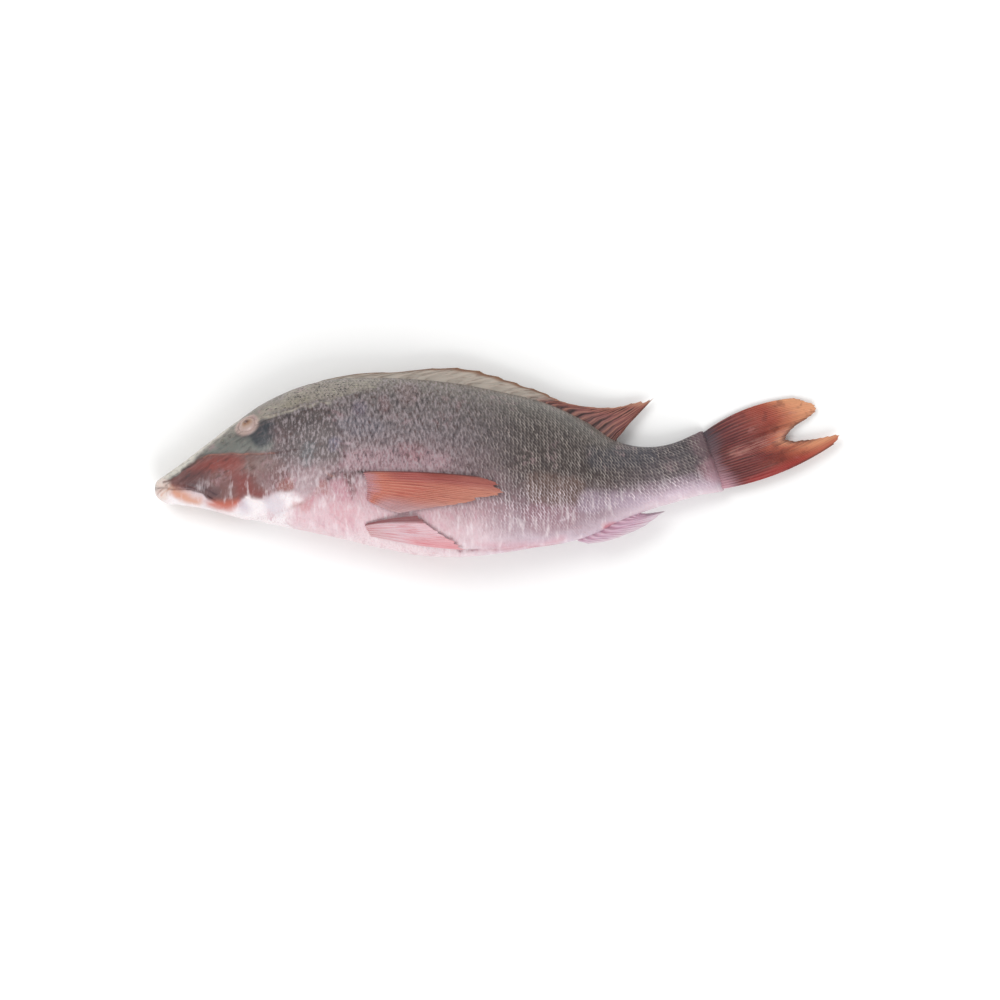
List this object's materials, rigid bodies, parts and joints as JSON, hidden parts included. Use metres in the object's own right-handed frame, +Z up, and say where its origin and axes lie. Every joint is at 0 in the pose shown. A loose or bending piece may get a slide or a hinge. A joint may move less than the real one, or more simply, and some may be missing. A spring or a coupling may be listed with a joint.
{
  "type": "whole raw fish",
  "caption": "Whole raw snapper lying on its right side, with its fins folded or fanned, a forked tail bent towards the back and a clouded eye on each side.",
  "frame": {"origin": "under the middle of the fish's box, on the surface that it lies on", "axes": "+X from the head to the tail, +Y from the belly to the back, +Z up from the surface, through the left flank"},
  "size_m": [0.4152, 0.114, 0.0552],
  "materials": {
    "skin": "wet scaly skin, grey above, maroon on the jaw and pink-white below",
    "fin": "damp orange-red skin over fine rays",
    "pale_fin": "damp pink-white skin over fine rays",
    "tail": "damp maroon skin over fine rays, orange at the tips",
    "eye": "clouded, wet"
  },
  "bodies": {
    "root": {"body": "skin", "dorsal_fin": "fin", "anal_fin": "pale_fin", "caudal_fin": "tail", "pectoral_fin_left": "fin", "pectoral_fin_right": "fin", "pelvic_fin_left": "pale_fin", "pelvic_fin_right": "pale_fin", "eye_left": "eye", "eye_right": "eye"}
  },
  "joints": []
}
